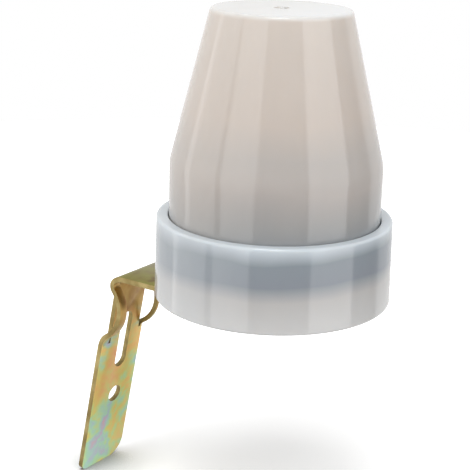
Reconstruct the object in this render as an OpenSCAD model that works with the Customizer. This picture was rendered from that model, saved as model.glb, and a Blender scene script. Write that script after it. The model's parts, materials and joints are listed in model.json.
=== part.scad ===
// Photocell switch: a translucent dome over a round base, carried by a folded
// steel bracket. Millimetres, +Z up along the dome's axis. The origin is the
// centre of the bracket's wall hole, on the face that meets the wall.

/* [Base ring] */
// Outer diameter of the ring at its top edge
ring_d = 68; // [64:0.5:76]
// Height of the ring
ring_h = 24.3; // [22:0.1:30]
// How much wider the ring's radius is at its foot than at its top
ring_draft = 0.36; // [0:0.02:0.6]
// Width of the flat rim between the ring's outside and the dome
rim_w = 3.4; // [3:0.1:4.5]
// Wall of the ring around its wide lower bore
ring_wall = 2; // [1.6:0.1:2.2]
// Rounding of the ring's top edge
ring_edge_r = 0.8; // [0.5:0.1:2]
// Rounding of the ring's foot
ring_foot_r = 0.8; // [0.3:0.1:1.2]
// Rounding of the rim's inner edge, next to the dome
rim_edge_r = 0.5; // [0.2:0.1:0.8]

/* [Dome cover] */
// Height of the dome's top above the ring's foot
dome_top_z = 83.4; // [75:0.2:100]
// Height of the knee, where the straight part meets the cone
knee_z = 40.2; // [34:0.2:50]
// Diameter of the top, measured to the sharp corner
dome_top_d = 39.4; // [30:0.2:50]
// Wall of the dome
dome_wall = 1.8; // [1.4:0.1:2.4]
// Rounding of the knee
knee_r = 15; // [5:1:30]
// Rounding of the top edge
dome_edge_r = 1.2; // [0.6:0.1:3]
// Diameter of the sunk gate mark in the middle of the top
gate_d = 4.4; // [3:0.1:6]
// Diameter of the nib left standing in that mark
gate_nib_d = 1.4; // [0.8:0.1:2]
// Depth of that mark
gate_depth = 0.5; // [0.3:0.1:0.9]
// Thickness of the flange at the dome's foot
dome_flange_t = 2.5; // [1.5:0.1:3]
// Thickness of the rubber seal on that flange
seal_t = 1.5; // [1:0.1:2]

/* [Base plate] */
// Height of the plate's threaded skirt
skirt_h = 12; // [11:0.1:14]
// Wall of the skirt
skirt_wall = 2.2; // [1.8:0.1:3]
// Thickness of the floor
floor_t = 2.6; // [2:0.1:3.4]
// Diameter of the pad that the bracket bears on
pad_d = 24; // [20:0.5:28]
// Height of that pad
pad_h = 2.6; // [1.5:0.1:4]
// Gap between that pad and the cable grommet's flange
outlet_gap = 0.5; // [0.3:0.1:1.5]
// Bore of the cable grommet
grommet_bore_d = 6.5; // [4.5:0.1:7]
// Wall of the grommet's neck
grommet_wall = 1.6; // [1.2:0.1:2]
// How far the grommet's two flanges stand out from its neck
grommet_lip = 1.6; // [1:0.1:1.8]
// Thickness of each of those flanges
grommet_lip_t = 1.6; // [1:0.1:2]

/* [Bracket] */
// Width of the steel strip
bracket_w = 20; // [18:0.5:24]
// Thickness of the strip
bracket_t = 1.6; // [1.2:0.1:2]
// Inner radius of the bend
bend_r = 4.2; // [2:0.1:6]
// Angle by which the leg leans outwards
leg_splay = 11; // [0:0.5:20]
// Distance from the dome's axis to the leg's inner face, at the flange's height
leg_reach = 51.6; // [46:0.2:64]
// Length of the leg, from the flange's top along the slope
leg_l = 72.5; // [66:0.5:90]
// Rounding of the leg's lower corner under the wide strap loop
wide_corner_r = 2.5; // [1:0.1:7]
// Rounding of the leg's lower corner under the narrow strap loop
narrow_corner_r = 6; // [1:0.1:7]
// Offset of the punched holes from the middle of the strip
punch_offset = 1.1; // [0:0.1:1.5]
// Diameter of the wall hole
wall_hole_d = 5.8; // [4:0.1:6.5]
// Distance of the wall hole along the leg
wall_hole_at = 46.6; // [44:0.2:55]
// Width of the wall slot
slot_w = 5.4; // [4.5:0.1:6.5]
// Length of the wall slot, end to end
slot_l = 20.2; // [14:0.2:22]
// Distance of the slot's upper end along the leg
slot_from = 16; // [14:0.2:18]
// Width of the middle band between the slits of the two strap loops
middle_w = 14; // [12:0.2:14.6]
// Width of the punched slit that frees each loop from the middle band
slit_w = 0.9; // [0.5:0.1:1.1]
// Height of the strap loops above the leg's inner face
loop_rise = 5.2; // [4:0.1:6]
// Distance of the loops' crowns along the leg
loop_crown_at = 13.2; // [12.4:0.1:14.4]
// Inner radius of the tighter bend at the head of each loop
loop_head_r = 1.6; // [1.2:0.1:3]
// Radius of the hollow at the foot of the wide loop
wide_foot_r = 5; // [1.5:0.1:6]
// Radius of the hollow at the foot of the narrow loop
narrow_foot_r = 1.8; // [1:0.1:5]
// How much each face of a loop sinks where the steel thins in drawing
loop_thinning = 0.05; // [0.03:0.01:0.1]

/* [Bracket screw] */
// Thread diameter of the bracket screw
screw_d = 4; // [3:0.5:5]
// Diameter of its pan head
screw_head_d = 8; // [7.6:0.1:9]
// Height of its pan head
screw_head_h = 2.8; // [2:0.1:3.4]
// Thickness of the spring washer
washer_t = 1.1; // [0.8:0.1:1.4]
// Ring width of the spring washer
washer_ring_w = 1.5; // [1:0.1:1.7]
// Width of the split in the spring washer
washer_split = 0.8; // [0.4:0.1:1.2]
// Distance across the nut's flats
nut_af = 7; // [7:0.5:8]
// Thickness of the nut
nut_t = 3.2; // [2.4:0.1:3.4]
// How far the screw's end stands out of the nut
screw_end = 0.8; // [0.4:0.1:1]

/* [Circuit board] */
// Height of the board's underside above the ring's foot
board_z = 10; // [8.5:0.1:11]
// Thickness of the board
board_t = 1.6; // [1:0.1:2]
// Thread diameter of the two board screws
board_screw_d = 2.9; // [2.2:0.1:3.5]
// Length of the board screws under the head
board_screw_l = 7; // [5:0.5:7]
// Diameter of the screw bosses on the base plate
boss_d = 6.4; // [5.6:0.1:7]
// Height of the light sensor above the board
sensor_h = 20; // [12:0.5:30]
// Diameter of the light sensor
sensor_d = 5.1; // [4:0.1:7]

/* [Clearances] */
// Gap between the base plate's skirt and the ring's bore, on the radius
thread_gap = 0.25; // [0.1:0.05:0.4]
// Gap between the dome and the ring's rim, on the radius
dome_gap = 0.15; // [0.1:0.05:0.4]
// Gap around a screw in the hole it passes through, on the radius
screw_gap = 0.25; // [0.1:0.05:0.5]
// Gap of a screw in the thread that holds it, on the radius
bite_gap = 0.05; // [0.03:0.01:0.1]
// Gap around the nut in its pocket
nut_gap = 0.15; // [0.1:0.05:0.3]
// Gap around the grommet's neck in the floor, on the radius
grommet_gap = 0.1; // [0.05:0.05:0.2]
// Gap between the board's edge and the dome's inside
board_gap = 0.9; // [0.5:0.1:1.5]

/* [Hidden] */
$fn = 64;
slack = 1;
arc_steps = 14;
// A rounded corner of the leg crosses the strip's edges by this much
corner_overrun = 0.02;

// Ring, dome and base plate share these radii and heights
ring_r = ring_d / 2;
rim_bore_r = ring_r - rim_w;
plug_bore_r = ring_r - ring_wall;
dome_r = rim_bore_r - dome_gap;
plug_r = plug_bore_r - thread_gap;
plug_inner_r = plug_r - skirt_wall;
dome_inner_r = dome_r - dome_wall;
flange_top_z = skirt_h + dome_flange_t;
shoulder_z = flange_top_z + seal_t;

// The dome's cone, and its inner corners one wall inside the outer ones
dome_top_r = dome_top_d / 2;
cone_lean = atan2(dome_r - dome_top_r, dome_top_z - knee_z);
knee_inner_z = knee_z - dome_wall * tan(cone_lean / 2);
cone_inner_r = dome_top_r - dome_wall / cos(cone_lean) + dome_wall * tan(cone_lean);

// Cable outlet
grommet_neck_r = grommet_bore_d / 2 + grommet_wall;
grommet_lip_r = grommet_neck_r + grommet_lip;
outlet_reach = pad_d / 2 + outlet_gap + grommet_lip_r;
outlet_r = grommet_neck_r + grommet_gap;

// Bracket: the flange lies under the pad, the leg hangs from the bend
pad_z = -pad_h;
bend_outer_r = bend_r + bracket_t;
bend_y = leg_reach + (bend_outer_r * sin(leg_splay) - bend_r) / cos(leg_splay);

// Strap loops: the slits start part-way round the bend, at this angle from level
loop_from = 55;
middle_from = punch_offset - middle_w / 2;
middle_to = punch_offset + middle_w / 2;
wide_loop_w = middle_from + bracket_w / 2 - slit_w - loop_thinning;
narrow_loop_w = bracket_w / 2 - middle_to - slit_w - loop_thinning;

// A loop's head arc, in the part's and in the leg's frame, and the crown arc that touches it
loop_head = bend_point(bend_r - loop_head_r, loop_from);
loop_head_across = (loop_head[0] - leg_reach) * cos(leg_splay) + (loop_head[1] - pad_z) * sin(leg_splay);
loop_head_along = (loop_head[0] - leg_reach) * sin(leg_splay) - (loop_head[1] - pad_z) * cos(leg_splay);
loop_climb = loop_rise + loop_head_across;
loop_run = loop_crown_at - loop_head_along;
loop_square = pow(loop_climb, 2) + pow(loop_run, 2) - pow(loop_head_r, 2);
loop_crown_r = loop_square / (2 * (loop_head_r + loop_climb));
loop_head_turn = atan2(loop_run, loop_crown_r - loop_climb);

// Where the wall hole leaves the leg's wall face
wall_hole_point = [
    punch_offset,
    leg_reach + wall_hole_at * sin(leg_splay) + bracket_t * cos(leg_splay),
    pad_z - wall_hole_at * cos(leg_splay) + bracket_t * sin(leg_splay)
];

// Screw, washer and nut stack up from the flange
washer_z = pad_z - bracket_t - washer_t;
washer_bore_r = screw_d / 2 + screw_gap;
screw_tip_z = floor_t + nut_t + screw_end;
screw_tip_bevel = 0.4;
nut_r = nut_af / 2 / cos(30);
nut_pocket_r = nut_r + nut_gap / cos(30);
nut_boss_wall = 1.6;
drive_w = 1;
drive_l = 4.4;
drive_depth = 1.2;

// Circuit board and what stands on it
board_r = dome_inner_r - board_gap;
board_top_z = board_z + board_t;
board_screw_z = board_top_z - board_screw_l;
boss_inset = 4.6;
boss_reach = board_r - boss_inset;
board_head_d = 5.6;
board_head_h = 1.8;
lead_hole_d = 1.6;
lead_hole_pitch = 5;
lead_hole_count = 3;
lead_hole_y = -22;
lead_r = 0.35;
relay_at = [9.5, 4];
relay_size = [15.4, 19, 15.2];
relay_foot = 0.4;
relay_foot_h = 2.5;
sensor_at = [-3.1, -1];
sensor_t = 2.2;
sensor_lead_pitch = 3.4;
dropper_at = [-12, 4];
dropper_size = [8, 18, 14];
dropper_corner_r = 1;
smoothing_at = [-3.1, 9];
smoothing_d = 8;
smoothing_h = 11.5;
smoothing_groove_z = 2;
smoothing_groove_r = 0.5;
axial_y = -13;
axial_span = 10;
axial_pitch = 4;
axial_lift = 0.5;
diode_count = 4;
diode_x = -15;
diode_d = 2.7;
diode_l = 5.2;
zener_d = 1.9;
zener_l = 4;
resistor_d = 2.5;
resistor_l = 6.5;
transistor_at = [10, -21.5];
transistor_d = 4.7;
transistor_flat = 1.6;
transistor_h = 4.7;
transistor_lift = 3;
transistor_lead_pitch = 1.27;
varistor_at = [4, 20];
varistor_d = 9;
varistor_t = 4;
varistor_edge_r = 1;
varistor_lift = 2;
varistor_lead_pitch = 5;

dome_colour = [0.84, 0.80, 0.76];
ring_colour = [0.80, 0.82, 0.85];
white_plastic = [0.93, 0.93, 0.91];
black_rubber = [0.10, 0.10, 0.10];
yellow_zinc = [0.72, 0.65, 0.38];
plated_steel = [0.75, 0.75, 0.77];
board_tan = [0.72, 0.58, 0.36];
black_epoxy = [0.12, 0.12, 0.13];
lead_tin = [0.75, 0.75, 0.75];

// Puts the origin in the wall hole
module in_part_frame() {
    translate(-wall_hole_point) children();
}

// The tip that rounding a corner takes off; before and after are its neighbours
module corner_tip(before, corner, after, r) {
    to_before = (before - corner) / norm(before - corner);
    to_after = (after - corner) / norm(after - corner);
    half = acos(to_before * to_after) / 2;
    middle = (to_before + to_after) / norm(to_before + to_after);
    reach = r / tan(half);
    centre = corner + middle * r / sin(half);
    difference() {
        polygon([corner, corner + to_before * reach, centre, corner + to_after * reach]);
        translate(centre) circle(r);
    }
}

// Sweeps an edge view, drawn in Y and Z, across the width from x
module across(x, w) {
    translate([x, 0, 0]) rotate([90, 0, 90]) linear_extrude(w) children();
}

// A tube standing on z = 0
module tube(outer_r, inner_r, h) {
    difference() {
        cylinder(r = outer_r, h = h);
        translate([0, 0, -slack]) cylinder(r = inner_r, h = h + 2 * slack);
    }
}

// Dome cover

module dome_outline() {
    foot = [dome_r, skirt_h];
    knee = [dome_r, knee_z];
    rim = [dome_top_r, dome_top_z];
    crown = [0, dome_top_z];
    difference() {
        polygon([[0, skirt_h], foot, knee, rim, crown]);
        corner_tip(foot, knee, rim, knee_r);
        corner_tip(knee, rim, crown, dome_edge_r);
        gate_mark();
    }
}

// A sunk ring around the nib that the moulding gate leaves
module gate_mark() {
    translate([gate_nib_d / 2, dome_top_z - gate_depth])
        square([(gate_d - gate_nib_d) / 2, gate_depth + slack]);
}

module dome_hollow() {
    polygon([
        [0, skirt_h - slack], [dome_inner_r, skirt_h - slack], [dome_inner_r, knee_inner_z],
        [cone_inner_r, dome_top_z - dome_wall], [0, dome_top_z - dome_wall]
    ]);
}

module dome_cover() {
    color(dome_colour) in_part_frame() rotate_extrude() difference() {
        union() {
            dome_outline();
            translate([0, skirt_h]) square([plug_r, dome_flange_t]);
        }
        dome_hollow();
    }
}

// Base ring, seal and base plate

module base_ring() {
    foot = [ring_r + ring_draft, 0];
    rim = [ring_r, ring_h];
    rim_inner = [rim_bore_r, ring_h];
    shoulder_inner = [rim_bore_r, shoulder_z];
    color(ring_colour) in_part_frame() rotate_extrude() difference() {
        polygon([
            [plug_bore_r, 0], foot, rim, rim_inner, shoulder_inner, [plug_bore_r, shoulder_z]
        ]);
        corner_tip([plug_bore_r, 0], foot, rim, ring_foot_r);
        corner_tip(foot, rim, rim_inner, ring_edge_r);
        corner_tip(rim, rim_inner, shoulder_inner, rim_edge_r);
    }
}

module dome_seal() {
    color(black_rubber) in_part_frame() translate([0, 0, flange_top_z])
        tube(plug_r, rim_bore_r, seal_t);
}

module nut_boss() {
    cylinder(r = nut_pocket_r + nut_boss_wall, h = floor_t + nut_t);
}

module board_boss(side) {
    translate([side * boss_reach, 0, 0]) cylinder(d = boss_d, h = board_z);
}

module base_plate() {
    color(white_plastic) in_part_frame() difference() {
        union() {
            tube(plug_r, plug_inner_r, skirt_h);
            cylinder(r = plug_r, h = floor_t);
            translate([0, 0, pad_z]) cylinder(d = pad_d, h = pad_h + floor_t);
            nut_boss();
            for (side = [-1, 1]) board_boss(side);
        }
        translate([0, 0, pad_z - slack])
            cylinder(r = screw_d / 2 + screw_gap, h = pad_h + floor_t + 2 * slack);
        translate([0, 0, floor_t]) cylinder(r = nut_pocket_r, h = nut_t + slack, $fn = 6);
        translate([0, -outlet_reach, pad_z - slack])
            cylinder(r = outlet_r, h = pad_h + floor_t + 2 * slack);
        for (side = [-1, 1]) translate([side * boss_reach, 0, board_screw_z])
            cylinder(r = board_screw_d / 2 + bite_gap, h = board_screw_l + slack);
    }
}

// Rubber bush for the leads, gripping the floor between its two flanges
module cable_grommet() {
    color(black_rubber) in_part_frame() translate([0, -outlet_reach, 0]) difference() {
        union() {
            translate([0, 0, -grommet_lip_t]) cylinder(r = grommet_lip_r, h = grommet_lip_t);
            cylinder(r = grommet_neck_r, h = floor_t);
            translate([0, 0, floor_t])
                cylinder(r1 = grommet_lip_r, r2 = grommet_neck_r, h = grommet_lip_t);
        }
        translate([0, 0, -grommet_lip_t - slack])
            cylinder(d = grommet_bore_d, h = floor_t + 2 * grommet_lip_t + 2 * slack);
    }
}

// Mounting bracket: one strip, punched, lanced and folded

// Points on an arc, without its first one
function arc_after(centre, r, from, to) = [
    for (i = [1 : arc_steps])
        centre + r * [cos(from + (to - from) * i / arc_steps), sin(from + (to - from) * i / arc_steps)]
];

// From the leg's own frame, across its thickness and along its length, to Y and Z
function leg_point(across, along) = [
    leg_reach + across * cos(leg_splay) + along * sin(leg_splay),
    pad_z + across * sin(leg_splay) - along * cos(leg_splay)
];

// A point on the bend, at a radius and an angle from level
function bend_point(r, angle) =
    [bend_y, pad_z - bend_outer_r] + r * [cos(angle), sin(angle)];

// A stretch of the bend without its first point. depth is 0 on the strip's inner face
// and the strip's thickness on its wall face.
function bend_after(depth, to) = arc_after(bend_point(0, 0), bend_r + depth, 90, to);

// One face of the plain strip, from the flange's end to the leg's end
function strip_face(depth) = concat(
    [[-bracket_w / 2, pad_z - bracket_t + depth], [bend_y, pad_z - bracket_t + depth]],
    bend_after(depth, leg_splay),
    [leg_point(depth, leg_l)]
);

// How far a loop's curve turns at its foot, and where it is back in the leg's plane
function foot_turn(foot_r) = acos(1 - loop_rise / (loop_crown_r + foot_r));
function foot_along(foot_r) = loop_crown_at + (loop_crown_r + foot_r) * sin(foot_turn(foot_r));

// One face of a strap loop: head, crown and foot are tangent arcs, and both of its
// ends run on inside the strip
function loop_face(depth, foot_r) = let (
    crown = leg_point(loop_crown_r - loop_rise, loop_crown_at),
    foot = leg_point(-foot_r, foot_along(foot_r)),
    crown_from = leg_splay - 180 - loop_head_turn,
    crown_to = leg_splay - 180 + foot_turn(foot_r)
) concat(
    bend_after(depth, loop_from),
    arc_after(loop_head, loop_head_r + depth, loop_from, leg_splay - loop_head_turn),
    arc_after(crown, loop_crown_r - depth, crown_from, crown_to),
    arc_after(foot, foot_r + depth, leg_splay + foot_turn(foot_r), leg_splay),
    [leg_point(depth, foot_along(foot_r) + slack)]
);

// Edge view of sheet metal between its two faces
module sheet_edge(wall_face, inner_face) {
    last = len(inner_face) - 1;
    polygon(concat(wall_face, [for (i = [last : -1 : 0]) inner_face[i]]));
}

module strap_loop(foot_r) {
    sheet_edge(loop_face(bracket_t - loop_thinning, foot_r), loop_face(loop_thinning, foot_r));
}

// Edge view of the stretch where a margin is lanced free, from the bend to the loop's foot
module lance_window(foot_r) {
    inner_r = bend_r - slack;
    outer_r = bend_outer_r + slack;
    polygon([
        bend_point(inner_r, loop_from), bend_point(outer_r, loop_from),
        bend_point(outer_r, leg_splay), leg_point(bracket_t + slack, foot_along(foot_r)),
        leg_point(-slack, foot_along(foot_r)), bend_point(inner_r, leg_splay)
    ]);
}

// The plain strip, with both margins cut away where the loops take their place
module lanced_strip() {
    half_w = bracket_w / 2;
    difference() {
        across(-half_w, bracket_w) sheet_edge(strip_face(bracket_t), strip_face(0));
        across(-half_w - slack, half_w + slack + middle_from) lance_window(wide_foot_r);
        across(middle_to, half_w + slack - middle_to) lance_window(narrow_foot_r);
    }
}

module wall_slot() {
    straight = slot_l - slot_w;
    translate([punch_offset, -slot_from - slot_w / 2]) {
        circle(d = slot_w);
        translate([-slot_w / 2, -straight]) square([slot_w, straight]);
        translate([0, -straight]) circle(d = slot_w);
    }
}

// What rounding takes off one lower corner of the leg; side is -1 or 1
module leg_corner(side, r) {
    inset = r - corner_overrun;
    translate([side * (bracket_w / 2 - inset), inset - leg_l]) scale([side, 1]) difference() {
        translate([0, -r - slack]) square(r + slack);
        circle(r);
    }
}

// What is punched out of the leg, drawn on its inner face
module leg_cuts() {
    wall_slot();
    translate([punch_offset, -wall_hole_at]) circle(d = wall_hole_d);
    leg_corner(-1, wide_corner_r);
    leg_corner(1, narrow_corner_r);
}

// What is punched out of the flange, drawn from above
module flange_cuts() {
    circle(r = screw_d / 2 + screw_gap);
    difference() {
        translate([-bracket_w / 2 - slack, -bracket_w / 2 - slack])
            square([bracket_w + 2 * slack, bracket_w / 2 + slack]);
        circle(d = bracket_w);
    }
}

module mounting_bracket() {
    cut_h = bracket_t + 2 * slack;
    color(yellow_zinc) in_part_frame() {
        difference() {
            lanced_strip();
            translate([0, 0, pad_z - bracket_t - slack]) linear_extrude(cut_h) flange_cuts();
            translate([0, leg_reach, pad_z]) rotate([leg_splay, 0, 0])
                translate([0, bracket_t + slack, 0]) rotate([90, 0, 0]) linear_extrude(cut_h) leg_cuts();
        }
        across(loop_thinning - bracket_w / 2, wide_loop_w) strap_loop(wide_foot_r);
        across(middle_to + slit_w, narrow_loop_w) strap_loop(narrow_foot_r);
    }
}

// Bracket screw, spring washer and captive nut

module bracket_screw() {
    head_z = washer_z - screw_head_h;
    bevel_z = screw_tip_z - screw_tip_bevel;
    dish_r = (pow(screw_head_d / 2, 2) + pow(screw_head_h, 2)) / (2 * screw_head_h);
    color(plated_steel) in_part_frame() difference() {
        union() {
            intersection() {
                translate([0, 0, head_z + dish_r]) sphere(dish_r);
                translate([0, 0, head_z]) cylinder(d = screw_head_d, h = screw_head_h);
            }
            translate([0, 0, washer_z]) cylinder(d = screw_d, h = bevel_z - washer_z);
            translate([0, 0, bevel_z])
                cylinder(d1 = screw_d, d2 = screw_d - 2 * screw_tip_bevel, h = screw_tip_bevel);
        }
        for (turn = [0, 90]) rotate(turn)
            translate([-drive_l / 2, -drive_w / 2, head_z - slack])
                cube([drive_l, drive_w, drive_depth + slack]);
    }
}

module spring_washer() {
    color(plated_steel) in_part_frame() translate([0, 0, washer_z]) difference() {
        tube(washer_bore_r + washer_ring_w, washer_bore_r, washer_t);
        translate([0, -washer_split / 2, -slack])
            cube([washer_bore_r + washer_ring_w + slack, washer_split, washer_t + 2 * slack]);
    }
}

module bracket_nut() {
    color(plated_steel) in_part_frame() translate([0, 0, floor_t]) difference() {
        cylinder(r = nut_r, h = nut_t, $fn = 6);
        translate([0, 0, -slack]) cylinder(r = screw_d / 2 + bite_gap, h = nut_t + 2 * slack);
    }
}

// Circuit board

module circuit_board() {
    color(board_tan) in_part_frame() translate([0, 0, board_z]) difference() {
        cylinder(r = board_r, h = board_t);
        for (side = [-1, 1]) translate([side * boss_reach, 0, -slack])
            cylinder(r = board_screw_d / 2 + screw_gap, h = board_t + 2 * slack);
        for (i = [0 : lead_hole_count - 1])
            translate([(i - lead_hole_count + 1) * lead_hole_pitch, lead_hole_y, -slack])
                cylinder(d = lead_hole_d, h = board_t + 2 * slack);
    }
}

module board_screw(side) {
    color(plated_steel) in_part_frame() translate([side * boss_reach, 0, board_top_z]) {
        translate([0, 0, -board_screw_l]) cylinder(d = board_screw_d, h = board_screw_l);
        cylinder(d1 = board_head_d, d2 = board_head_d - board_head_h, h = board_head_h);
    }
}

// Places a component on the board's top face
module on_board(at) {
    in_part_frame() translate([at[0], at[1], board_top_z]) children();
}

// A pair of straight leads, pitch apart, up to height h
module lead_pair(pitch, h) {
    for (side = [-1, 1]) translate([side * pitch / 2, 0, 0]) cylinder(r = lead_r, h = h);
}

module relay() {
    color(black_epoxy) on_board(relay_at) {
        foot_w = relay_size[0] + 2 * relay_foot;
        foot_l = relay_size[1] + 2 * relay_foot;
        translate([-relay_size[0] / 2, -relay_size[1] / 2, 0]) cube(relay_size);
        translate([-foot_w / 2, -foot_l / 2, 0]) cube([foot_w, foot_l, relay_foot_h]);
    }
}

module light_sensor() {
    color([0.78, 0.42, 0.30]) on_board(sensor_at) {
        lead_pair(sensor_lead_pitch, sensor_h);
        translate([0, 0, sensor_h - sensor_t]) cylinder(d = sensor_d, h = sensor_t);
    }
}

module dropper_capacitor() {
    plan = [dropper_size[0], dropper_size[1]];
    color([0.70, 0.14, 0.10]) on_board(dropper_at) linear_extrude(dropper_size[2]) {
        square([plan[0] - 2 * dropper_corner_r, plan[1]], center = true);
        square([plan[0], plan[1] - 2 * dropper_corner_r], center = true);
        for (x = [-1, 1], y = [-1, 1])
            translate([x * (plan[0] / 2 - dropper_corner_r), y * (plan[1] / 2 - dropper_corner_r)])
                circle(dropper_corner_r);
    }
}

module smoothing_capacitor() {
    can_r = smoothing_d / 2;
    color([0.13, 0.16, 0.28]) on_board(smoothing_at) rotate_extrude() difference() {
        square([can_r, smoothing_h]);
        translate([can_r, smoothing_groove_z]) circle(smoothing_groove_r);
    }
}

// A component lying along Y with its two leads bent down to the board
module axial_part(x, body_d, body_l, body_colour) {
    lift = body_d / 2 + axial_lift;
    on_board([x, axial_y]) {
        color(lead_tin) {
            translate([0, axial_span / 2, lift]) rotate([90, 0, 0]) cylinder(r = lead_r, h = axial_span);
            for (side = [-1, 1]) translate([0, side * axial_span / 2, 0]) {
                cylinder(r = lead_r, h = lift);
                translate([0, 0, lift]) sphere(lead_r);
            }
        }
        color(body_colour) translate([0, body_l / 2, lift]) rotate([90, 0, 0])
            cylinder(d = body_d, h = body_l);
    }
}

module rectifier_diode(i) {
    axial_part(diode_x + i * axial_pitch, diode_d, diode_l, black_epoxy);
}

module zener_diode() {
    axial_part(diode_x + diode_count * axial_pitch, zener_d, zener_l, [0.75, 0.35, 0.20]);
}

module resistor(i) {
    axial_part(diode_x + (diode_count + i) * axial_pitch, resistor_d, resistor_l, [0.80, 0.68, 0.48]);
}

module switching_transistor() {
    color(black_epoxy) on_board(transistor_at) {
        translate([0, 0, transistor_lift]) linear_extrude(transistor_h) intersection() {
            circle(d = transistor_d);
            translate([-transistor_d / 2, -transistor_flat])
                square([transistor_d, transistor_flat + transistor_d / 2]);
        }
        for (i = [-1 : 1]) translate([i * transistor_lead_pitch, 0, 0])
            cylinder(r = lead_r, h = transistor_lift + lead_r);
    }
}

module surge_varistor() {
    disc_r = varistor_d / 2;
    color([0.18, 0.30, 0.55]) on_board(varistor_at) {
        translate([0, 0, varistor_lift + disc_r]) rotate([90, 0, 0]) rotate_extrude() {
            translate([0, -varistor_t / 2]) square([disc_r - varistor_edge_r, varistor_t]);
            translate([0, varistor_edge_r - varistor_t / 2])
                square([disc_r, varistor_t - 2 * varistor_edge_r]);
            for (side = [-1, 1])
                translate([disc_r - varistor_edge_r, side * (varistor_t / 2 - varistor_edge_r)])
                    circle(varistor_edge_r);
        }
        lead_pair(varistor_lead_pitch, varistor_lift + disc_r);
    }
}

dome_cover();
base_ring();
base_plate();
dome_seal();
cable_grommet();
mounting_bracket();
bracket_screw();
spring_washer();
bracket_nut();
circuit_board();
board_screw(-1);  // board_screw_1
board_screw(1);  // board_screw_2
relay();
light_sensor();
dropper_capacitor();
smoothing_capacitor();
for (i = [0 : diode_count - 1])
    rectifier_diode(i);
zener_diode();
resistor(1);  // surge_resistor
resistor(2);  // bleed_resistor
resistor(3);  // bias_resistor
switching_transistor();
surge_varistor();
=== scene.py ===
"""Looks of a photocell switch: a translucent dome and ring on a plated steel bracket."""
import json
import math

import bmesh
import bpy
from mathutils import Matrix, Vector


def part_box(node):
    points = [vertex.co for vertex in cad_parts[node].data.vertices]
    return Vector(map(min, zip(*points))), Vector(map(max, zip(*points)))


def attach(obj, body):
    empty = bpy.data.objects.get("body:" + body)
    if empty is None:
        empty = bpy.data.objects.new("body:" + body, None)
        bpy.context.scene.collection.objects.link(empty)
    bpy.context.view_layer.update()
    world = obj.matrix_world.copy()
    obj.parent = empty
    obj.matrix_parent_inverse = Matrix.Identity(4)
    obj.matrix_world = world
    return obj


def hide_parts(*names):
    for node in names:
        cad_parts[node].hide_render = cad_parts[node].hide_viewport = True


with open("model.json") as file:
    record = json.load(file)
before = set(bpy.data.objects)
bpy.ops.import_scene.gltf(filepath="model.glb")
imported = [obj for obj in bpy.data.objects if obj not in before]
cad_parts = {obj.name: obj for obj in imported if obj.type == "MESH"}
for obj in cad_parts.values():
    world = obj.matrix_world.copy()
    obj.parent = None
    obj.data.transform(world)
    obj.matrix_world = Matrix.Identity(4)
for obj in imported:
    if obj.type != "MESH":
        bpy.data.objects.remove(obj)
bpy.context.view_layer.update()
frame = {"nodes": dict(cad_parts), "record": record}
MM = 0.001

# Places read from the frame: the dome's axis, the ring's foot and the bracket's heights
ring_low, ring_high = (Vector(corner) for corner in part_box("base_ring"))
bracket_low, bracket_high = (Vector(corner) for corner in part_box("mounting_bracket"))
AXIS = (ring_low + ring_high) / 2
FOOT_Z = ring_low.z
FLANGE_Z = bracket_high.z
FLOOR_Z = bracket_low.z
# The leg leans out from the upright by this much, and is flat below this height
LEG_SPLAY = math.radians(11)
LEG_TOP_Z = FLANGE_Z - 24 * MM

# Camera: a long lens in front of the switch, a little above it; angles in degrees
CAMERA_TURN = 57.88
CAMERA_DISTANCE = 358.8 * MM
CAMERA_HEIGHT = 126.31 * MM
CAMERA_PAN = -1.79
CAMERA_TILT = -16.84
CAMERA_ROLL = 1.55
CAMERA_LENS = 99.1
SENSOR_WIDTH = 36.0

# Numbered sockets of a Mix node: its two numbers, its two colours and the result of each kind
NUMBER_A, NUMBER_B, NUMBER_OUT = 2, 3, 0
COLOUR_A, COLOUR_B, COLOUR_OUT = 6, 7, 2


def linear(hex_colour):
    """Turns an sRGB hex colour into linear RGBA."""
    channels = [int(hex_colour[i:i + 2], 16) / 255 for i in (1, 3, 5)]
    curve = [c / 12.92 if c <= 0.04045 else ((c + 0.055) / 1.055) ** 2.4 for c in channels]
    return (*curve, 1.0)


def add_node(tree, kind, inputs, stops=(), **settings):
    """Adds a node. inputs maps a socket's name or number to a value or to a linked socket;
    stops are a colour ramp's pairs of position and hex colour."""
    made = tree.nodes.new(kind)
    for name, value in settings.items():
        setattr(made, name, value)
    for key, value in inputs.items():
        if isinstance(value, bpy.types.NodeSocket):
            tree.links.new(value, made.inputs[key])
        else:
            made.inputs[key].default_value = value
    for count, (position, colour) in enumerate(stops):
        if count >= len(made.color_ramp.elements):
            made.color_ramp.elements.new(position)
        made.color_ramp.elements[count].position = position
        made.color_ramp.elements[count].color = linear(colour)
    return made


def new_material(name):
    """An empty node material; returns it with its tree and its Object coordinates."""
    material = bpy.data.materials.new(name)
    material.use_nodes = True
    tree = material.node_tree
    tree.nodes.clear()
    return material, tree, add_node(tree, "ShaderNodeTexCoord", {}).outputs["Object"]


# Frosted polypropylene, moulded: glossy and milky. Its tints go up the wall in bands: greyest
# at the foot inside the ring's mouth, painted shade where the ring shadows it, grey over the
# parts on the board, warm where the dome is empty, and palest on its closed top, painted light.
# Their levels are matched to the lit surface, so all of them are partly painted shade and light
# The colour that the dome's bands pale to on the bracket's side: painted light
DOME_PAINTED_LIGHT_COLOUR = "#CDC2B7"
DOME_TINTS = [
    (24, "#9A9D9F"), (38, "#C2BBB6"), (46, "#C2BCB7"), (56, "#D1C6BD"), (82, "#DAD0C7"),
    (83.4, "#EEEEED"),
]
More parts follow.
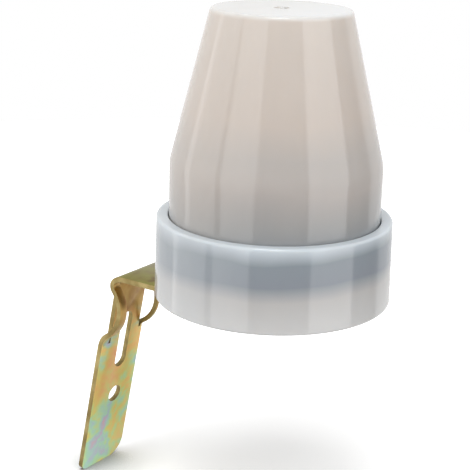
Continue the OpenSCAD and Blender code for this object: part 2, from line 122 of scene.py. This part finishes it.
# The same plastic, thicker and bluer: white low down, where the base plate's skirt is behind
# it, a grey band where the rubber seal and the dome's flange are, and pale again at the rim.
# Their levels are matched to the lit surface, so they are partly painted shade and light
# The colour that the ring's bands pale to on the bracket's side: painted light
RING_PAINTED_LIGHT_COLOUR = "#CFD3D5"
RING_TINTS = [
    (0, "#DDDCDB"), (9, "#CCCAC8"), (13.5, "#9AA0A8"), (20, "#9AA2A9"), (24.3, "#D4DCE2"),
]
# How far a tint's band wavers up and down, the distance round the wall over which it does, and
# the heights between which it steadies towards the closed top
TINT_DRIFT = 0.9 * MM
DRIFT_SPACING = 22 * MM
STEADYING = (FOOT_Z + 60 * MM, FOOT_Z + 78 * MM)
# Painted light: where the paling of the bands sets in and is strongest, towards the bracket,
# and its share there
PAINTED_LIGHT_SIDE = (AXIS.y - 14 * MM, AXIS.y + 6 * MM)
PAINTED_LIGHT_SHARE = 0.3
# Clouds in the plastic, and waves where it flowed along the mould
CLOUD_SIZE = 9 * MM
FLOW_SIZE = 7 * MM


def moulded_plastic(name, painted_light_colour, tints):
    """Glossy translucent moulding. tints are pairs of millimetres above the ring's foot and
    colour, because what lies behind the wall shows through it, in bands that waver a little;
    they hold painted shade and light too. On the bracket's side the bands pale, painted light."""
    material, tree, place = new_material(name)
    low, high = tints[0][0], tints[-1][0]
    drift = add_node(tree, "ShaderNodeTexNoise", {
        "Vector": place, "Scale": 1 / DRIFT_SPACING, "Detail": 1.0})
    drift_height = add_node(tree, "ShaderNodeMapRange", {
        "Value": drift.outputs["Fac"], "From Min": 0.3, "From Max": 0.7,
        "To Min": -TINT_DRIFT, "To Max": TINT_DRIFT})
    position = add_node(tree, "ShaderNodeSeparateXYZ", {"Vector": place})
    steadier = add_node(tree, "ShaderNodeMapRange", {
        "Value": position.outputs["Z"], "From Min": STEADYING[0], "From Max": STEADYING[1],
        "To Min": 1.0, "To Max": 0.0})
    band = add_node(tree, "ShaderNodeMath", {
        0: drift_height.outputs["Result"], 1: steadier.outputs["Result"],
        2: position.outputs["Z"]}, operation="MULTIPLY_ADD")
    share = add_node(tree, "ShaderNodeMapRange", {
        "Value": band.outputs[0],
        "From Min": FOOT_Z + low * MM, "From Max": FOOT_Z + high * MM})
    tint = add_node(
        tree, "ShaderNodeValToRGB", {"Fac": share.outputs["Result"]},
        stops=[((mm - low) / (high - low), colour) for mm, colour in tints])
    # Painted light: the bands pale towards the lighter colour on the bracket's side
    painted_light_side = add_node(tree, "ShaderNodeMapRange", {
        "Value": position.outputs["Y"], "From Min": PAINTED_LIGHT_SIDE[0], "From Max": PAINTED_LIGHT_SIDE[1],
        "To Min": 0.0, "To Max": PAINTED_LIGHT_SHARE})
    tint_and_painted_light = add_node(tree, "ShaderNodeMix", {
        "Factor": painted_light_side.outputs["Result"], COLOUR_A: tint.outputs["Color"],
        COLOUR_B: linear(painted_light_colour)}, data_type="RGBA")
    cloud = add_node(tree, "ShaderNodeTexNoise", {
        "Vector": place, "Scale": 1 / CLOUD_SIZE, "Detail": 3.0})
    cloud_share = add_node(tree, "ShaderNodeMapRange", {
        "Value": cloud.outputs["Fac"], "To Min": 0.985, "To Max": 1.015})
    clouded = add_node(tree, "ShaderNodeVectorMath", {
        0: tint_and_painted_light.outputs[COLOUR_OUT], 1: cloud_share.outputs["Result"]}, operation="MULTIPLY")
    flow = add_node(tree, "ShaderNodeTexNoise", {
        "Vector": place, "Scale": 1 / FLOW_SIZE, "Detail": 1.0})
    wave = add_node(tree, "ShaderNodeBump", {
        "Strength": 0.05, "Distance": 0.04 * MM, "Height": flow.outputs["Fac"]})
    gloss = add_node(tree, "ShaderNodeMapRange", {
        "Value": flow.outputs["Fac"], "To Min": 0.08, "To Max": 0.12})
    skin = add_node(tree, "ShaderNodeBsdfPrincipled", {
        "Base Color": clouded.outputs["Vector"], "Roughness": gloss.outputs["Result"],
        "IOR": 1.5, "Subsurface Weight": 0.4, "Subsurface Radius": (1.0, 0.9, 0.8),
        "Subsurface Scale": 3 * MM, "Normal": wave.outputs["Normal"]})
    add_node(tree, "ShaderNodeOutputMaterial", {"Surface": skin.outputs[0]})
    return material


# Heights between which the bracket's film changes: it thins up the leg, blushes below the
# fold, turns brown towards the flange, partly painted shade under it, and is darkened to olive
# most on the flange's top face, painted shade
THINNING = (FLOOR_Z, FLANGE_Z - 30 * MM)
BLUSHING = (FLANGE_Z - 38 * MM, FLANGE_Z - 20 * MM)
BROWNING_AND_SHADE = (FLANGE_Z - 26 * MM, FLANGE_Z - 10 * MM)
TOP_FACE_SHADE = (FLANGE_Z - 3 * MM, FLANGE_Z - 0.5 * MM)
# The film's patches and streaks, the plated grain under it, and the tears in a punched edge
PATCH_SIZE = 11 * MM
STREAK_SIZE = 6 * MM
PLATED_GRAIN = 0.5 * MM
TEAR_SIZE = 6 * MM


def chromate_film():
    """Yellow chromate over zinc plate: a thin film whose thickness wanders, so gold turns to
    pink, violet, teal and green in soft patches; olive and browner on the flange, partly
    painted shade there and on its top face."""
    material, tree, place = new_material("zinc_plated_steel_yellow_chromate")
    patches = add_node(tree, "ShaderNodeTexNoise", {
        "Vector": place, "Scale": 1 / PATCH_SIZE, "Detail": 3.0, "Roughness": 0.58,
        "Distortion": 0.3})
    height = add_node(tree, "ShaderNodeSeparateXYZ", {"Vector": place}).outputs["Z"]
    build_up = add_node(tree, "ShaderNodeMapRange", {
        "Value": height, "From Min": THINNING[0], "From Max": THINNING[1],
        "To Min": 0.022, "To Max": -0.03})
    thickness = add_node(tree, "ShaderNodeMath", {
        0: patches.outputs["Fac"], 1: build_up.outputs["Result"]})
    leg_film = add_node(tree, "ShaderNodeValToRGB", {"Fac": thickness.outputs[0]}, stops=[
        (0.22, "#F6A67E"), (0.34, "#F8C37C"), (0.45, "#F0D67C"), (0.52, "#D6E290"),
        (0.59, "#B2E6C4"), (0.66, "#C0C8DC"), (0.74, "#EAB4B8"),
    ])
    leg_film.color_ramp.interpolation = "B_SPLINE"
    streaks = add_node(tree, "ShaderNodeTexNoise", {
        "Vector": place, "Scale": 1 / STREAK_SIZE, "Detail": 2.0})
    # Brown film for the flange and the leg under it, darker than the film alone: partly painted
    # shade
    flange_film_and_shade = add_node(tree, "ShaderNodeValToRGB", {"Fac": streaks.outputs["Fac"]}, stops=[
        (0.30, "#946235"), (0.46, "#B28C4F"), (0.70, "#C2A363"),
    ])
    blush = add_node(tree, "ShaderNodeMapRange", {
        "Value": height, "From Min": BLUSHING[0], "From Max": BLUSHING[1]})
    rosy_film = add_node(tree, "ShaderNodeMix", {
        "Factor": blush.outputs["Result"], COLOUR_A: leg_film.outputs["Color"],
        COLOUR_B: linear("#FFE6F4")}, data_type="RGBA", blend_type="MULTIPLY")
    # Partly painted shade: the film turns brown and darker under the flange
    brown_and_shade = add_node(tree, "ShaderNodeMapRange", {
        "Value": height, "From Min": BROWNING_AND_SHADE[0], "From Max": BROWNING_AND_SHADE[1],
    }, interpolation_type="SMOOTHSTEP")
    blended = add_node(tree, "ShaderNodeMix", {
        "Factor": brown_and_shade.outputs["Result"], COLOUR_A: rosy_film.outputs[COLOUR_OUT],
        COLOUR_B: flange_film_and_shade.outputs["Color"]}, data_type="RGBA")
    # Painted shade: the film is darkened to olive towards the flange's top face
    top_face_shade = add_node(tree, "ShaderNodeMapRange", {
        "Value": height, "From Min": TOP_FACE_SHADE[0], "From Max": TOP_FACE_SHADE[1]})
    film = add_node(tree, "ShaderNodeMix", {
        "Factor": top_face_shade.outputs["Result"], COLOUR_A: blended.outputs[COLOUR_OUT],
        COLOUR_B: linear("#B6D4A2")}, data_type="RGBA", blend_type="MULTIPLY")
    grain = add_node(tree, "ShaderNodeTexNoise", {
        "Vector": place, "Scale": 1 / PLATED_GRAIN, "Detail": 2.0})
    pitting = add_node(tree, "ShaderNodeBump", {
        "Strength": 0.12, "Distance": 0.02 * MM, "Height": grain.outputs["Fac"]})
    gloss = add_node(tree, "ShaderNodeMapRange", {
        "Value": streaks.outputs["Fac"], "To Min": 0.24, "To Max": 0.42})
    skin = add_node(tree, "ShaderNodeBsdfPrincipled", {
        "Base Color": film.outputs[COLOUR_OUT], "Metallic": 0.9,
        "Roughness": gloss.outputs["Result"], "Normal": pitting.outputs["Normal"]})
    add_node(tree, "ShaderNodeOutputMaterial", {"Surface": skin.outputs[0]})
    return material


def sheared_edge():
    """Punched edge of the same strip, brown to olive and darker than the faces: partly the torn
    steel's own dull film, partly painted shade.
    """
    material, tree, place = new_material("zinc_plated_steel_sheared")
    tear = add_node(tree, "ShaderNodeTexNoise", {
        "Vector": place, "Scale": 1 / TEAR_SIZE, "Detail": 3.0})
    # Darker than the faces' film: partly the torn steel, partly painted shade
    film = add_node(tree, "ShaderNodeValToRGB", {"Fac": tear.outputs["Fac"]}, stops=[
        (0.30, "#7F6C42"), (0.50, "#9A8856"), (0.70, "#B8A672"),
    ])
    gloss = add_node(tree, "ShaderNodeMapRange", {
        "Value": tear.outputs["Fac"], "To Min": 0.4, "To Max": 0.6})
    burr = add_node(tree, "ShaderNodeBump", {
        "Strength": 0.3, "Distance": 0.03 * MM, "Height": tear.outputs["Fac"]})
    skin = add_node(tree, "ShaderNodeBsdfPrincipled", {
        "Base Color": film.outputs["Color"], "Metallic": 0.8,
        "Roughness": gloss.outputs["Result"], "Normal": burr.outputs["Normal"]})
    add_node(tree, "ShaderNodeOutputMaterial", {"Surface": skin.outputs[0]})
    return material


def mottled(name, dark, light, grain_mm, roughness, metallic=0.0):
    """A finely grained two-tone finish, for the small pieces and those inside the dome."""
    material, tree, place = new_material(name)
    grain = add_node(tree, "ShaderNodeTexNoise", {
        "Vector": place, "Scale": 1 / (grain_mm * MM), "Detail": 3.0})
    tone = add_node(tree, "ShaderNodeValToRGB", {"Fac": grain.outputs["Fac"]}, stops=[
        (0.3, dark), (0.7, light)])
    gloss = add_node(tree, "ShaderNodeMapRange", {
        "Value": grain.outputs["Fac"], "To Min": roughness * 0.8, "To Max": roughness * 1.2})
    relief = add_node(tree, "ShaderNodeBump", {
        "Strength": 0.3, "Distance": 0.01 * MM, "Height": grain.outputs["Fac"]})
    skin = add_node(tree, "ShaderNodeBsdfPrincipled", {
        "Base Color": tone.outputs["Color"], "Roughness": gloss.outputs["Result"],
        "Metallic": metallic, "Normal": relief.outputs["Normal"]})
    add_node(tree, "ShaderNodeOutputMaterial", {"Surface": skin.outputs[0]})
    return material


SHEARED_EDGE = sheared_edge()
MATERIALS = {
    "dome_plastic": moulded_plastic("frosted_polypropylene_moulded", DOME_PAINTED_LIGHT_COLOUR, DOME_TINTS),
    "ring_plastic": moulded_plastic("clouded_polypropylene_moulded", RING_PAINTED_LIGHT_COLOUR, RING_TINTS),
    "yellow_zinc": chromate_film(),
    # Smooth satin white, a shade darker in its hollows
    "white_plastic": mottled("white_abs_moulded", "#E4E4E0", "#EEEEEA", 1.5, 0.35),
    # Dull near-black with a dusty bloom
    "black_rubber": mottled("black_rubber_moulded", "#1A1A1A", "#262625", 0.8, 0.75),
    # Cool silver with a fine spangle
    "bright_zinc": mottled("bright_zinc_plated_steel", "#B4B6BA", "#D2D4D8", 0.7, 0.3, 1.0),
    # Tan and satin, flecked by its paper fibre
    "board_laminate": mottled("tan_paper_laminate", "#A8814F", "#BD9661", 0.6, 0.5),
    # Matt black with a faint sparkle of filler
    "black_moulding": mottled("black_epoxy_moulded", "#17171A", "#242428", 0.5, 0.55),
    # Orange-red film on a pale disc
    "sensor_ceramic": mottled("sensor_film_on_ceramic", "#B4573C", "#D89470", 0.5, 0.3),
    # Thick glossy dip coat with soft waves
    "red_epoxy": mottled("red_epoxy_dipped", "#8E1A12", "#A82419", 1.2, 0.25),
    # The same dip coat in blue, a little duller
    "blue_epoxy": mottled("blue_epoxy_dipped", "#1B3A7A", "#274C96", 1.0, 0.3),
    # Taut dark film
    "capacitor_sleeve": mottled("dark_sleeve_shrunk", "#1C2238", "#272F4A", 1.5, 0.35),
    # Orange glass over a dark die
    "diode_glass": mottled("orange_diode_glass", "#A4512B", "#C87446", 0.6, 0.15),
    # Beige lacquer with a slight orange peel
    "resistor_lacquer": mottled("beige_lacquer_dipped", "#B89C70", "#CDB48A", 0.6, 0.35),
}
NODE_SLOTS = {part["node"]: part["material_slot"] for part in frame["record"]["subparts"]}
for node_name, node_object in frame["nodes"].items():
    node_object.data.materials.clear()
    node_object.data.materials.append(MATERIALS[NODE_SLOTS[node_name]])

# Points closer than this are one point, and a section's points lie this near to its plane
WELD_DISTANCE = 0.002 * MM
SECTION_TOLERANCE = 0.01 * MM
# A moulding's section is cut into pieces no longer than this and swept round in this many steps
SECTION_STEP = 2 * MM
SPIN_STEPS = 128
# Shading is smooth across corners up to these angles, in degrees
MOULDING_CREASE = 14
BRACKET_CREASE = 35
# On the bracket, triangles this level are one face, and corners sharper than this are broken
LEVEL_ANGLE = math.radians(1)
CORNER_ANGLE = math.radians(40)
BROKEN_EDGE = 0.22 * MM
# A face looks along a direction when its normal's share of it is more than this
FACING_SHARE = 0.5
FILM_INDEX, SHEARED_INDEX = 0, 1


def merged_copy(node_name):
    """A copy of a CAD node's mesh with its loose triangles joined."""
    mesh = bmesh.new()
    mesh.from_mesh(frame["nodes"][node_name].data)
    bmesh.ops.remove_doubles(mesh, verts=mesh.verts, dist=WELD_DISTANCE)
    return mesh


def finish_piece(mesh, name, node_name, crease):
    """Makes a mesh the piece that stands for a CAD node, smooth up to crease degrees."""
    for face in mesh.faces:
        face.smooth = True
    data = bpy.data.meshes.new(name)
    mesh.to_mesh(data)
    mesh.free()
    data.materials.append(MATERIALS[NODE_SLOTS[node_name]])
    data.set_sharp_from_angle(angle=math.radians(crease))
    piece = bpy.data.objects.new(name, data)
    bpy.context.scene.collection.objects.link(piece)
    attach(piece, "root")
    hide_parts(node_name)
    return piece


def turned_moulding(name, node_name):
    """A round moulding swept afresh in fine steps, from one radial section of its CAD solid."""
    mesh = merged_copy(node_name)
    elsewhere = [
        vert for vert in mesh.verts
        if abs(vert.co.y - AXIS.y) > SECTION_TOLERANCE or vert.co.x < AXIS.x
    ]
    bmesh.ops.delete(mesh, geom=elsewhere, context="VERTS")
    long_edges = [edge for edge in mesh.edges if edge.calc_length() > SECTION_STEP]
    for edge in long_edges:
        cuts = int(edge.calc_length() / SECTION_STEP)
        bmesh.ops.subdivide_edges(mesh, edges=[edge], cuts=cuts)
    bmesh.ops.spin(
        mesh, geom=mesh.verts[:] + mesh.edges[:], cent=AXIS, axis=(0, 0, 1),
        angle=math.tau, steps=SPIN_STEPS, use_merge=True)
    bmesh.ops.remove_doubles(mesh, verts=mesh.verts, dist=WELD_DISTANCE)
    open_rims = [edge for edge in mesh.edges if edge.is_boundary]
    bmesh.ops.holes_fill(mesh, edges=open_rims, sides=0)
    bmesh.ops.recalc_face_normals(mesh, faces=mesh.faces)
    finish_piece(mesh, name, node_name, MOULDING_CREASE)


def pressed_bracket():
    """The folded strip with its punched edges broken and their torn faces darker, partly
    painted shade.
    """
    mesh = merged_copy("mounting_bracket")
    bmesh.ops.dissolve_limit(
        mesh, angle_limit=LEVEL_ANGLE, verts=mesh.verts, edges=mesh.edges)
    leg_normal = Vector((0, math.cos(LEG_SPLAY), math.sin(LEG_SPLAY)))
    for face in mesh.faces:
        along_sheet = abs(face.normal.x) < FACING_SHARE
        if along_sheet and face.calc_center_median().z < LEG_TOP_Z:
            along_sheet = abs(face.normal.dot(leg_normal)) > FACING_SHARE
        face.material_index = FILM_INDEX if along_sheet else SHEARED_INDEX
    sharp = [
        edge for edge in mesh.edges
        if edge.is_manifold and edge.calc_face_angle() > CORNER_ANGLE
    ]
    bmesh.ops.bevel(
        mesh, geom=sharp, offset=BROKEN_EDGE, offset_type="OFFSET", affect="EDGES",
        segments=2, profile=0.5, material=-1, clamp_overlap=True)
    piece = finish_piece(mesh, "pressed_bracket", "mounting_bracket", BRACKET_CREASE)
    piece.data.materials.append(SHEARED_EDGE)


turned_moulding("frosted_dome", "dome_cover")
turned_moulding("clouded_ring", "base_ring")
pressed_bracket()

# Stage: a white floor that keeps the shadow, with a painted shadow in its glow, a white
# backdrop and a dim room before it
FLOOR_RADIUS = 600 * MM
FLOOR_SEGMENTS = 96
GLOSSY_FLOOR_RADIUS = 200 * MM
# A painted shadow: its middle lies this far behind the dome's axis; the floor's glow is least
# there and rises to white between these distances from it
PAINTED_SHADOW_OFFSET = 48 * MM
PAINTED_SHADOW_GLOW = 0.235
PAINTED_SHADOW_RISE = (8 * MM, 200 * MM)
# How far the painted shade in the corner under the leg's foot reaches, and how quickly it
# deepens
PAINTED_SHADE_REACH = 20 * MM
PAINTED_SHADE_POWER = 2.0
# The room's middle, in degrees from the camera's side, the cosines of the angle from it between
# which the room gives way to the backdrop, and its level beside the backdrop's white
ROOM_TURN = 8
ROOM_EDGE = (-0.41, -0.31)
ROOM_LEVEL = 0.15
# Light that a black and a white surround give the switch
LIGHT_FROM_BLACK = 0.16
LIGHT_FROM_WHITE = 0.62
# Softboxes: turn and rise in degrees, distance, width and height in metres, power in watts
SOFTBOXES = {
    "side_softbox": (-88, 6, 1.1, 0.93, 1.5, 5.2),
    "left_softbox": (-40, 6, 1.1, 0.76, 1.5, 5.5),
    "right_softbox": (58.5, 6, 1.1, 0.96, 1.5, 8.5),
    "top_softbox": (-10, 68, 1.2, 0.5, 0.5, 5.8),
}
# They are aimed this far above the ring's middle
AIM_RISE = 20 * MM


def heading(turn):
    """Level direction from the switch; turn runs anticlockwise from the camera's side."""
    angle = math.radians(turn - 90 - CAMERA_TURN)
    return Vector((math.cos(angle), math.sin(angle), 0))


def build_floor():
    """Paint takes the shadow; glow lifts it to white for what looks at it. The glow is least at
    a painted shadow's middle and rises away from it, and for the camera painted shade darkens
    the corner under the leg's foot. In a gloss only the floor's middle shows, and from below it
    is clear."""
    middle = Vector((AXIS.x, AXIS.y, FLOOR_Z))
    mesh = bmesh.new()
    bmesh.ops.create_circle(
        mesh, cap_ends=True, segments=FLOOR_SEGMENTS, radius=FLOOR_RADIUS)
    bmesh.ops.translate(mesh, verts=mesh.verts, vec=middle)
    data = bpy.data.meshes.new("floor")
    mesh.to_mesh(data)
    mesh.free()
    floor = bpy.data.objects.new("floor", data)
    bpy.context.scene.collection.objects.link(floor)
    material, tree, place = new_material("white_studio_floor")
    from_middle = add_node(tree, "ShaderNodeVectorMath", {
        0: place, 1: middle}, operation="DISTANCE")
    # Painted shadow: the glow is least at this place behind the dome
    from_painted_shadow = add_node(tree, "ShaderNodeVectorMath", {
        0: place, 1: middle - heading(0) * PAINTED_SHADOW_OFFSET}, operation="DISTANCE")
    lift = add_node(tree, "ShaderNodeMapRange", {
        "Value": from_painted_shadow.outputs["Value"], "From Min": PAINTED_SHADOW_RISE[0],
        "From Max": PAINTED_SHADOW_RISE[1], "To Min": PAINTED_SHADOW_GLOW, "To Max": 1.0})
    path = add_node(tree, "ShaderNodeLightPath", {})
    look = add_node(tree, "ShaderNodeMath", {
        0: path.outputs["Is Camera Ray"], 1: path.outputs["Is Glossy Ray"],
    }, operation="MAXIMUM")
    look_through = add_node(tree, "ShaderNodeMath", {
        0: look.outputs[0], 1: path.outputs["Is Transmission Ray"]}, operation="MAXIMUM")
    # Painted shade: for the camera the floor's glow and paint darken in the corner under the
    # leg's foot
    corner = add_node(tree, "ShaderNodeAmbientOcclusion", {
        "Color": linear("#FAFAFA"), "Distance": PAINTED_SHADE_REACH}, samples=8)
    corner_painted_shade = add_node(tree, "ShaderNodeMath", {
        0: corner.outputs["AO"], 1: PAINTED_SHADE_POWER}, operation="POWER")
    corner_shaded_lift = add_node(tree, "ShaderNodeMath", {
        0: lift.outputs["Result"], 1: corner_painted_shade.outputs[0]}, operation="MULTIPLY")
    seen_lift = add_node(tree, "ShaderNodeMix", {
        "Factor": path.outputs["Is Camera Ray"], NUMBER_A: lift.outputs["Result"],
        NUMBER_B: corner_shaded_lift.outputs[0]})
    strength = add_node(tree, "ShaderNodeMath", {
        0: look_through.outputs[0], 1: seen_lift.outputs[NUMBER_OUT]}, operation="MULTIPLY")
    # For the camera the paint is white darkened by the painted corner shade; for other rays it
    # is grey
    shade = add_node(tree, "ShaderNodeMix", {
        "Factor": path.outputs["Is Camera Ray"], COLOUR_A: linear("#BCBCBC"),
        COLOUR_B: corner.outputs["Color"]}, data_type="RGBA")
    paint = add_node(tree, "ShaderNodeBsdfDiffuse", {"Color": shade.outputs[COLOUR_OUT]})
    glow = add_node(tree, "ShaderNodeEmission", {"Strength": strength.outputs[0]})
    lit = add_node(tree, "ShaderNodeAddShader", {0: paint.outputs[0], 1: glow.outputs[0]})
    outer = add_node(tree, "ShaderNodeMath", {
        0: from_middle.outputs["Value"], 1: GLOSSY_FLOOR_RADIUS}, operation="GREATER_THAN")
    unseen = add_node(tree, "ShaderNodeMath", {
        0: outer.outputs[0], 1: path.outputs["Is Glossy Ray"]}, operation="MULTIPLY")
    under = add_node(tree, "ShaderNodeNewGeometry", {})
    cleared = add_node(tree, "ShaderNodeMath", {
        0: unseen.outputs[0], 1: under.outputs["Backfacing"]}, operation="MAXIMUM")
    clear = add_node(tree, "ShaderNodeBsdfTransparent", {})
    skin = add_node(tree, "ShaderNodeMixShader", {
        0: cleared.outputs[0], 1: lit.outputs[0], 2: clear.outputs[0]})
    add_node(tree, "ShaderNodeOutputMaterial", {"Surface": skin.outputs[0]})
    data.materials.append(material)


def build_world():
    """White straight ahead; in a gloss the backdrop stays white and the room is dim. Both
    light the switch in that proportion."""
    world = bpy.data.worlds.new("white_studio")
    world.use_nodes = True
    tree = world.node_tree
    tree.nodes.clear()
    direction = add_node(tree, "ShaderNodeTexCoord", {}).outputs["Generated"]
    towards_room = add_node(tree, "ShaderNodeVectorMath", {
        0: direction, 1: heading(ROOM_TURN)}, operation="DOT_PRODUCT")
    room = add_node(tree, "ShaderNodeMapRange", {
        "Value": towards_room.outputs["Value"], "From Min": ROOM_EDGE[0],
        "From Max": ROOM_EDGE[1], "To Min": 1.0, "To Max": ROOM_LEVEL})
    path = add_node(tree, "ShaderNodeLightPath", {})
    in_gloss = add_node(tree, "ShaderNodeMath", {
        0: path.outputs["Is Glossy Ray"], 1: path.outputs["Is Transmission Ray"],
    }, operation="MAXIMUM")
    light = add_node(tree, "ShaderNodeMapRange", {
        "Value": room.outputs["Result"],
        "To Min": LIGHT_FROM_BLACK, "To Max": LIGHT_FROM_WHITE})
    reflected = add_node(tree, "ShaderNodeMix", {
        "Factor": in_gloss.outputs[0], NUMBER_A: light.outputs["Result"],
        NUMBER_B: room.outputs["Result"]})
    strength = add_node(tree, "ShaderNodeMix", {
        "Factor": path.outputs["Is Camera Ray"], NUMBER_A: reflected.outputs[NUMBER_OUT],
        NUMBER_B: 1.0})
    surround = add_node(tree, "ShaderNodeBackground", {
        "Color": (1, 1, 1, 1), "Strength": strength.outputs[NUMBER_OUT]})
    add_node(tree, "ShaderNodeOutputWorld", {"Surface": surround.outputs[0]})
    bpy.context.scene.world = world


def add_softbox(name, turn, rise, distance, width, height, power):
    """A rectangular lamp aimed at the switch from turn and rise degrees."""
    target = AXIS + Vector((0, 0, AIM_RISE))
    aim = heading(turn) * math.cos(math.radians(rise))
    aim.z = math.sin(math.radians(rise))
    lamp = bpy.data.lights.new(name, "AREA")
    lamp.shape = "RECTANGLE"
    lamp.size = width
    lamp.size_y = height
    lamp.energy = power
    holder = bpy.data.objects.new(name, lamp)
    holder.location = target + aim * distance
    holder.rotation_euler = aim.to_track_quat("Z", "Y").to_euler()
    bpy.context.scene.collection.objects.link(holder)


def build_camera():
    """Stands on the camera's side, then pans, tilts and rolls to the photograph's framing."""
    pan = math.radians(CAMERA_TURN + CAMERA_PAN)
    tilt = math.radians(CAMERA_TILT)
    roll = math.radians(CAMERA_ROLL)
    ahead = Vector((
        math.sin(pan) * math.cos(tilt), math.cos(pan) * math.cos(tilt), math.sin(tilt)))
    level = Vector((ahead.y, -ahead.x, 0)).normalized()
    upright = level.cross(ahead)
    right = math.cos(roll) * level + math.sin(roll) * upright
    up = math.cos(roll) * upright - math.sin(roll) * level
    place = Vector((AXIS.x, AXIS.y, FOOT_Z + CAMERA_HEIGHT)) + heading(0) * CAMERA_DISTANCE
    lens = bpy.data.cameras.new("camera")
    lens.lens = CAMERA_LENS
    lens.sensor_width = SENSOR_WIDTH
    camera = bpy.data.objects.new("camera", lens)
    camera.matrix_world = Matrix((
        (right.x, up.x, -ahead.x, place.x),
        (right.y, up.y, -ahead.y, place.y),
        (right.z, up.z, -ahead.z, place.z),
        (0, 0, 0, 1)))
    bpy.context.scene.collection.objects.link(camera)
    bpy.context.scene.camera = camera


build_floor()
build_world()
for softbox_name, setting in SOFTBOXES.items():
    add_softbox(softbox_name, *setting)
build_camera()
bpy.context.scene.view_settings.view_transform = "Standard"
